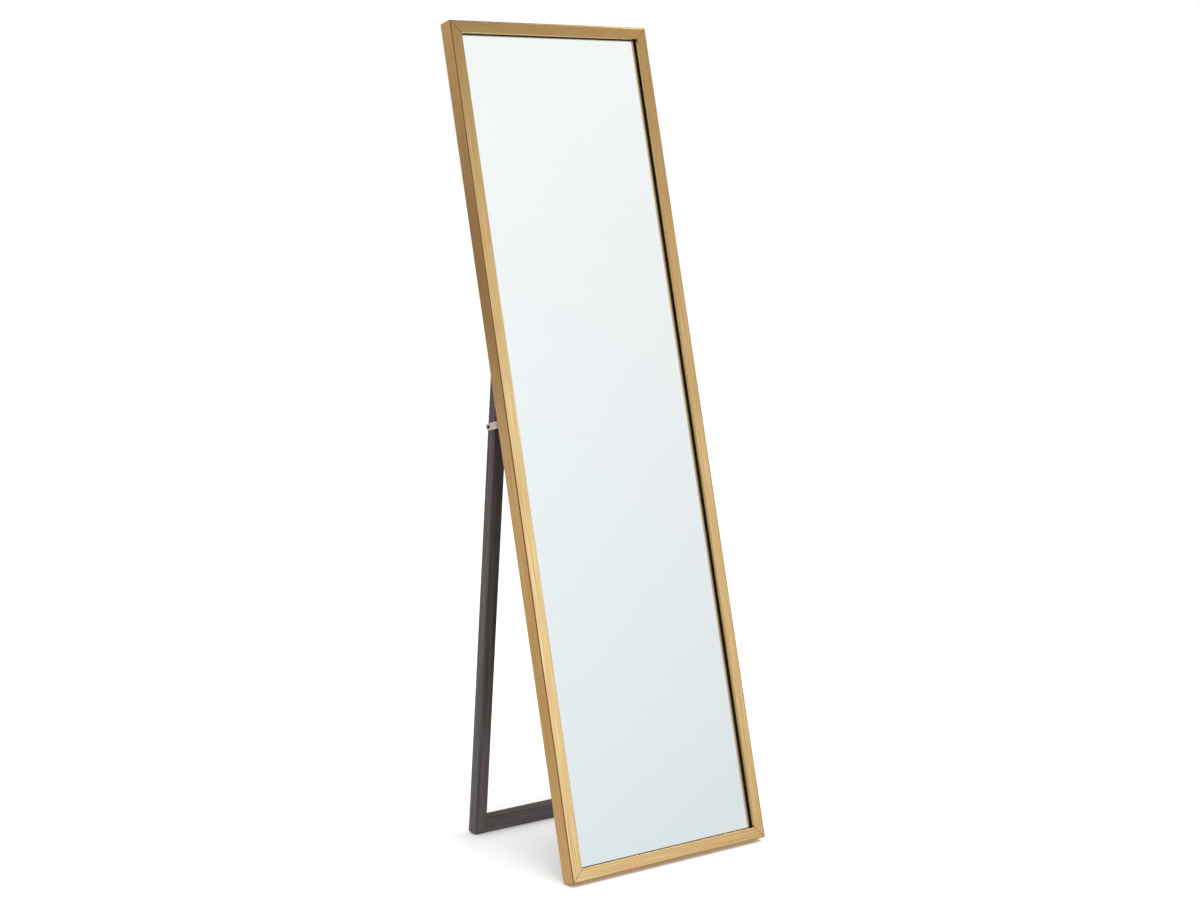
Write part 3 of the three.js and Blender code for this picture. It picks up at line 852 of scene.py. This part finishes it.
class EASEL_MIRROR_OT_hinges(bpy.types.Operator):
    """Two butt hinges between the cross rail and the top of the stand"""
    bl_idname = "easel_mirror.hinges"
    bl_label = "Hinges"

    def execute(self, context):
        s = sizes()
        middle = s.middle_knuckle / 2
        on_mirror = joint_in(MIRROR, "stand_fold")
        on_stand = joint_in(STAND, "stand_fold")
        # lays the moving leaf on the rail's top face
        turn_over = Matrix.Rotation(math.pi, 4, Vector((0, 1, 1)))
        for side in SIDES:
            low, high = extent(MIRROR, f"hinge_leaf_fixed_{side}")
            x = (low.x + high.x) / 2
            half = (high.x - low.x) / 2
            width = high.z - on_mirror.z
            barrel = on_mirror.z - low.z
            fixed = MIRROR @ Matrix.Translation((x, on_mirror.y, on_mirror.z))
            moving = STAND @ Matrix.Translation((x, on_stand.y, on_stand.z)) @ turn_over
            outer = middle + s.knuckle_gap
            knuckles = [(-half, -outer), (outer, half)]
            place_steel(f"hinge_leaf_fixed_{side}",
                        rolled_leaf("fixed_leaf", half, width, barrel, knuckles),
                        fixed, "mirror", s.sheet_arris)
            place_steel(f"hinge_leaf_moving_{side}",
                        rolled_leaf("moving_leaf", half, width, barrel, [(-middle, middle)]),
                        moving, "stand", s.sheet_arris)
            self.pin(side)
        return {"FINISHED"}

    @staticmethod
    def pin(side):
        node = f"hinge_pin_{side}"
        own, middle, head, low, high = pin_box(MIRROR, HEAD_RIGHT, node)
        # (radius, distance from the end) of a capped end; both are alike
        end = [(0, 0), (0.7 * head, 0.1 * MM), (head, 0.6 * PIN_CAP), (head, PIN_CAP),
               (sizes().pin_radius, PIN_CAP)]
        profile = [(r, low + z) for r, z in end] + [(r, high - z) for r, z in reversed(end)]
        place_steel(node, turned(node, profile, PIN_SIDES, (middle.x, middle.y)), own, "mirror")


# ---- Stays ----

# radii of the holes round a rivet and round the pivot screw
RIVET_HOLE, PIVOT_HOLE = 2.3 * MM, 2.2 * MM
REAR_LINK_CORNER = 3.0 * MM
BRACKET_CORNER, BRACKET_BEND = 3 * MM, 1.5 * MM
# how far the bracket's flange starts inside its ear, and its fillet inside both
FLANGE_INSET, FILLET_INSET = 0.2 * MM, 0.1 * MM
RIVET_HEAD, RIVET_SHANK, RIVET_FOOT, RIVET_SIDES = 1.0 * MM, 2.0 * MM, 0.25 * MM, 36
TAIL_EASE, TAIL_SIDES = 0.3 * MM, 28
SPACER_EASE = 0.15 * MM


def link_mesh(name, start, end, radius, corner, end_hole, inner, outer):
    """A flat link along Y with two holes, a round start and an end of its own corner radius."""
    reach, rise = end + radius - corner, radius - corner
    # 359.9, because the two arcs would share a point where the end is round
    outline = (arc(start, 0, radius, 90, 270, ROUND_STEPS)
               + arc(reach, -rise, corner, 270, 359.9, ROUND_STEPS // 2)
               + arc(reach, rise, corner, 0, 90, ROUND_STEPS // 2))
    return cut_sheet(name, outline, [circle(start, 0, RIVET_HOLE), circle(end, 0, end_hole)],
                     inner, outer, lambda u, v, t: (t, u, v))


def rivet_mesh(name, head_radius, low, high):
    """A rivet about Z with a domed head at its upper end and an eased foot."""
    base = high - RIVET_HEAD
    dome = [(head_radius * math.cos(math.radians(a)), base + RIVET_HEAD * math.sin(math.radians(a)))
            for a in (0, 12, 25, 38, 51, 64, 77)]
    return turned(name, [(0, low), (RIVET_SHANK - RIVET_FOOT, low), (RIVET_SHANK, low + RIVET_FOOT),
                         (RIVET_SHANK, base), *dome, (0, high)], RIVET_SIDES)


class EASEL_MIRROR_OT_stays(bpy.types.Operator):
    """Folding flat stays with their brackets, rivets and collars"""
    bl_idname = "easel_mirror.stays"
    bl_label = "Stays"

    def execute(self, context):
        for side, sign in SIDES.items():
            self.links(side)
            self.bracket(side, sign)
            self.rivets(side)
        return {"FINISHED"}

    @staticmethod
    def links(side):
        for name, end_hole, corner in (("front", RIVET_HOLE, None),
                                       ("rear", PIVOT_HOLE, REAR_LINK_CORNER)):
            node = f"stay_{name}_link_{side}"
            low, high = extent(MIRROR, node)
            radius = (high.z - low.z) / 2
            own = MIRROR @ Matrix.Translation((0, 0, (low.z + high.z) / 2))
            mesh = link_mesh(node, low.y + radius, high.y - radius, radius, corner or radius,
                             end_hole, low.x, high.x)
            place_steel(node, mesh, own, f"stay_{name}_{side}", sizes().sheet_arris)

    @staticmethod
    def bracket(side, sign):
        """A flange screwed to the frame's back, bent out into the ear that holds the pivot."""
        node = f"stay_bracket_{side}"
        low, high = extent(MIRROR, node)
        link_low, link_high = extent(MIRROR, f"stay_front_link_{side}")
        pivot = joint_in(MIRROR, f"stay_front_fold_{side}")
        thick = link_high.x - link_low.x
        inner = min(abs(low.x), abs(high.x))
        outer = max(abs(low.x), abs(high.x))
        radius = high.y - pivot.y
        middle = (low.z + high.z) / 2
        half = (high.z - low.z) / 2
        bm = bmesh.new()
        holes = []
        for n in (1, 2):
            screw_low, screw_high = extent(MIRROR, f"stay_bracket_screw_{side}_{n}")
            centre = (screw_low + screw_high) / 2
            holes.append(circle(abs(centre.x), centre.z - middle, SCREW_HOLE))
        corner, neck = BRACKET_CORNER, inner + FLANGE_INSET
        bend = inner + BRACKET_BEND
        flange = ([(bend, -half), (outer - corner, -half)]
                  + arc(outer - corner, -half + corner, corner, 270, 360, ARC_STEPS)
                  + arc(outer - corner, half - corner, corner, 0, 90, ARC_STEPS)
                  + [(bend, half), (bend, radius), (neck, radius), (neck, -radius),
                     (bend, -radius)])
        plate(bm, flange, holes, low.y, low.y + thick,
              lambda u, v, t: (sign * u, t, middle + v))
        ear = ([(low.y, -radius)] + arc(pivot.y, 0, radius, 270, 450, ROUND_STEPS)
               + [(low.y, radius)])
        plate(bm, ear, [circle(pivot.y, 0, RIVET_HOLE)], inner, inner + thick,
              lambda u, v, t: (sign * t, u, middle + v))
        corner_x, corner_y = inner + thick, low.y + thick
        fillet = ([(corner_x - FILLET_INSET, corner_y - FILLET_INSET)]
                  + arc(corner_x + BRACKET_BEND, corner_y + BRACKET_BEND, BRACKET_BEND, 180, 270,
                        ARC_STEPS))
        plate(bm, fillet, [], -radius, radius, lambda u, v, t: (sign * u, v, middle + t))
        place_steel(node, to_mesh(bm, node), MIRROR, "mirror", sizes().sheet_arris)

    @staticmethod
    def rivets(side):
        """The rivets at both ends of the front link, and the collar under the rear one."""
        look = HEAD_LEFT if side == "left" else HEAD_RIGHT
        for node, body in ((f"stay_front_rivet_{side}", "mirror"),
                           (f"stay_knee_rivet_{side}", f"stay_rear_{side}")):
            own, middle, radius, low, high = pin_box(MIRROR, look, node)
            place_steel(node, rivet_mesh(node, radius, low, high),
                        own @ Matrix.Translation((middle.x, middle.y, 0)), body)
        node = f"stay_knee_rivet_tail_{side}"
        own, middle, radius, low, high = pin_box(MIRROR, look, node)
        profile = [(0, low), (radius - TAIL_EASE, low), (radius, low + TAIL_EASE), (radius, high),
                   (0, high)]
        place_steel(node, turned(node, profile, TAIL_SIDES, (middle.x, middle.y)), own,
                    f"stay_front_{side}")
        node = f"stay_spacer_{side}"
        own, middle, radius, low, high = pin_box(MIRROR, look, node)
        rim, hole = (circle(middle.x, middle.y, r) for r in (radius, PIVOT_HOLE))
        place_steel(node, cut_sheet(node, rim, [hole], low, high, lambda u, v, t: (u, v, t)), own,
                    "stand", SPACER_EASE)


# ---- Stage ----

CAMERA_PLACE = (-2.1331, -2.8561, 1.1537)
CAMERA_TURN = (math.radians(90 - 7.84), 0, math.radians(-36.6))
CAMERA_LENS, CAMERA_SENSOR = 65.03, 36
CAMERA_CLIP = (0.05, 300)
FLOOR_HALF = 60.0
# keeps the floor's face off the feet
FLOOR_DROP = 0.5 * MM

# what gloss reflects, a softbox and a room: brightness by height, as the sine of the elevation,
# times brightness by bearing, in turns
SOFTBOX_HEIGHTS = ((-1.0, 0.7), (0.0, 0.9), (0.05, 1.1), (0.08, 1.3), (0.13, 1.52), (0.25, 1.52),
                   (0.30, 1.42), (0.34, 1.2), (0.38, 1.2), (0.41, 1.15), (0.43, 0.42),
                   (0.46, 0.12), (1.0, 0.05))
SOFTBOX_BEARINGS = ((-0.07, 0.0), (0.0, 0.8), (0.04, 1.0), (0.095, 1.0), (0.113, 0.6),
                    (0.17, 0.1), (0.2, 0.0))
ROOM_HEIGHTS = ((-1.0, 0.9), (-0.33, 0.88), (-0.28, 0.7), (-0.24, 0.62), (-0.19, 0.78),
                (-0.14, 1.08), (-0.12, 0.85), (-0.1, 0.24), (-0.045, 0.24), (0.03, 0.6),
                (0.06, 0.85), (0.12, 0.8), (0.4, 0.45), (1.0, 0.35))
ROOM_BEARINGS = ((-0.5, 1.0), (-0.36, 1.0), (-0.3, 0.85), (-0.25, 0.7), (-0.225, 0.08),
                 (-0.155, 0.08), (-0.125, 0.7), (-0.06, 0.8), (0.0, 0.3), (0.05, 0.1),
                 (0.12, 0.1), (0.2, 0.6), (0.3, 0.9), (0.5, 1.0))
# tints of the dim and of the bright parts of it, and the brightness at which each holds
WARM_LIGHT, COOL_LIGHT, TINT_RANGE = (1.0, 0.89, 0.84), (1.0, 1.2, 1.6), (0.7, 1.4)
# name, side, watts, place and target; the small one lightens the top of the frame and the floor
SOFTBOXES = (("ceiling_softbox", 3.0, 60, (-0.6, -1.0, 3.4), (0.0, -1.85, 0.0)),
             ("edge_softbox", 1.0, 22, (2.4, -1.1, 3.3), (0.0, 0.1, 0.1)))
# even light on matt finishes, with a share that comes from one direction
KEY_TOWARDS, KEY_SHARE, EVEN_LIGHT = (0.68, -0.71, 0.17), 0.9, 1.15
# colour that the glass mirrors, low and high, and the heights between which it changes
MIRRORED_LOW, MIRRORED_HIGH = (0.765, 0.80, 0.805), (1.01, 1.015, 1.005)
MIRRORED_RANGE = (0.08, 0.43)


def studio_world():
    """White backdrop, even light for matt finishes, and what gloss and the mirror reflect."""
    world = bpy.data.worlds.new("studio")
    world.use_nodes = True
    tree = world.node_tree
    sight = add_node(tree, "ShaderNodeLightPath")
    direction = add_node(tree, "ShaderNodeTexCoord").outputs["Generated"]
    parts = add_node(tree, "ShaderNodeSeparateXYZ", links={"Vector": direction})
    height = parts.outputs["Z"]

    def math_of(operation, first, second):
        node = add_node(tree, "ShaderNodeMath", {"operation": operation})
        for i, value in enumerate((first, second)):
            if isinstance(value, bpy.types.NodeSocket):
                tree.links.new(value, node.inputs[i])
            else:
                node.inputs[i].default_value = value
        return node.outputs["Value"]

    def graded(source, stops):
        """Brightness between (value, brightness) stops."""
        low, high = stops[0][0], stops[-1][0]
        even = add_node(tree, "ShaderNodeMapRange",
                        values={"From Min": low, "From Max": high}, links={"Value": source})
        ramp = add_node(tree, "ShaderNodeValToRGB", links={"Fac": even.outputs["Result"]})
        elements = ramp.color_ramp.elements
        while len(elements) < len(stops):
            elements.new(0.5)
        for element, (value, brightness) in zip(elements, stops):
            element.position = (value - low) / (high - low)
            element.color = (brightness, brightness, brightness, 1)
        return ramp.outputs["Color"]

    # bearing of a direction in turns: 0 is the way the glass faces, positive is towards X
    forward = math_of("MULTIPLY", parts.outputs["Y"], -1.0)
    bearing = math_of("DIVIDE", math_of("ARCTAN2", parts.outputs["X"], forward), 2 * math.pi)
    softbox = math_of("MULTIPLY", graded(height, SOFTBOX_HEIGHTS), graded(bearing, SOFTBOX_BEARINGS))
    room = math_of("MULTIPLY", graded(height, ROOM_HEIGHTS), graded(bearing, ROOM_BEARINGS))
    glow = math_of("ADD", softbox, room)
    tint = blend_colours(tree, spread(tree, glow, 0.0, 1.0, *TINT_RANGE), WARM_LIGHT, COOL_LIGHT)
    gloss = add_node(tree, "ShaderNodeVectorMath", {"operation": "SCALE"},
                     links={"Vector": tint, "Scale": glow}).outputs["Vector"]
    key = add_node(tree, "ShaderNodeVectorMath", {"operation": "DOT_PRODUCT"},
                   values={1: KEY_TOWARDS}, links={0: direction}).outputs["Value"]
    even = math_of("ADD", math_of("MULTIPLY", key, KEY_SHARE), EVEN_LIGHT)
    mirrored = blend_colours(tree, spread(tree, height, 0.0, 1.0, *MIRRORED_RANGE),
                             MIRRORED_LOW, MIRRORED_HIGH)
    through_glass = math_of("GREATER_THAN", sight.outputs["Transmission Depth"], 0.5)
    shade = blend_colours(tree, sight.outputs["Is Diffuse Ray"], gloss, even)
    shade = blend_colours(tree, through_glass, shade, mirrored)
    shade = blend_colours(tree, sight.outputs["Is Camera Ray"], shade, (1.0, 1.0, 1.0))
    tree.links.new(shade, tree.nodes["Background"].inputs["Color"])
    world.cycles.sampling_method = "NONE"
    return world


class EASEL_MIRROR_OT_stage(bpy.types.Operator):
    """Pale floor, soft studio light and the camera"""
    bl_idname = "easel_mirror.stage"
    bl_label = "Stage"

    def execute(self, context):
        scene = context.scene
        bm = bmesh.new()
        bmesh.ops.create_grid(bm, x_segments=8, y_segments=8, size=FLOOR_HALF)
        mesh = to_mesh(bm, "floor")
        mesh.materials.append(finish_of(matt_studio_paint))
        floor = bpy.data.objects.new("floor", mesh)
        scene.collection.objects.link(floor)
        floor.location.z = -FLOOR_DROP
        floor.visible_glossy = False

        scene.world = studio_world()
        for name, side, power, position, target in SOFTBOXES:
            lamp = bpy.data.lights.new(name, "AREA")
            lamp.size = side
            lamp.energy = power
            holder = bpy.data.objects.new(name, lamp)
            holder.location = position
            aim = Vector(target) - holder.location
            holder.rotation_euler = aim.to_track_quat("-Z", "Y").to_euler()
            holder.visible_camera = False
            scene.collection.objects.link(holder)

        lens = bpy.data.cameras.new("camera")
        lens.sensor_width = CAMERA_SENSOR
        lens.lens = CAMERA_LENS
        lens.clip_start, lens.clip_end = CAMERA_CLIP
        camera = bpy.data.objects.new("camera", lens)
        camera.location = CAMERA_PLACE
        camera.rotation_euler = CAMERA_TURN
        scene.collection.objects.link(camera)
        scene.camera = camera
        scene.view_settings.view_transform = "Standard"
        return {"FINISHED"}


# ---- Add-on ----

OPERATORS = (
    EASEL_MIRROR_OT_stage,
    EASEL_MIRROR_OT_frame,
    EASEL_MIRROR_OT_glass,
    EASEL_MIRROR_OT_glazing_points,
    EASEL_MIRROR_OT_stand,
    EASEL_MIRROR_OT_screws,
    EASEL_MIRROR_OT_hinges,
    EASEL_MIRROR_OT_stays,
)


class EASEL_MIRROR_PT_pieces(bpy.types.Panel):
    """Lists the pieces of the mirror"""
    bl_idname = "EASEL_MIRROR_PT_pieces"
    bl_label = "Easel Mirror"
    bl_space_type = "VIEW_3D"
    bl_region_type = "UI"
    bl_category = "Easel Mirror"

    def draw(self, context):
        for operator in OPERATORS:
            self.layout.operator(operator.bl_idname)
        for group in (context.scene.easel_mirror_sizes, context.scene.easel_mirror_colours):
            column = self.layout.column(align=True)
            for name in group.bl_rna.properties.keys():
                if name not in ("rna_type", "name"):
                    column.prop(group, name)


CLASSES = (EaselMirrorSizes, EaselMirrorColours, *OPERATORS, EASEL_MIRROR_PT_pieces)


def register():
    for cls in CLASSES:
        bpy.utils.register_class(cls)
    bpy.types.Scene.easel_mirror_sizes = PointerProperty(type=EaselMirrorSizes)
    bpy.types.Scene.easel_mirror_colours = PointerProperty(type=EaselMirrorColours)


def unregister():
    del bpy.types.Scene.easel_mirror_colours
    del bpy.types.Scene.easel_mirror_sizes
    for cls in reversed(CLASSES):
        bpy.utils.unregister_class(cls)


def main():
    register()
    for operator in OPERATORS:
        group, name = operator.bl_idname.split(".")
        getattr(getattr(bpy.ops, group), name)()


if __name__ == "__main__":
    main()
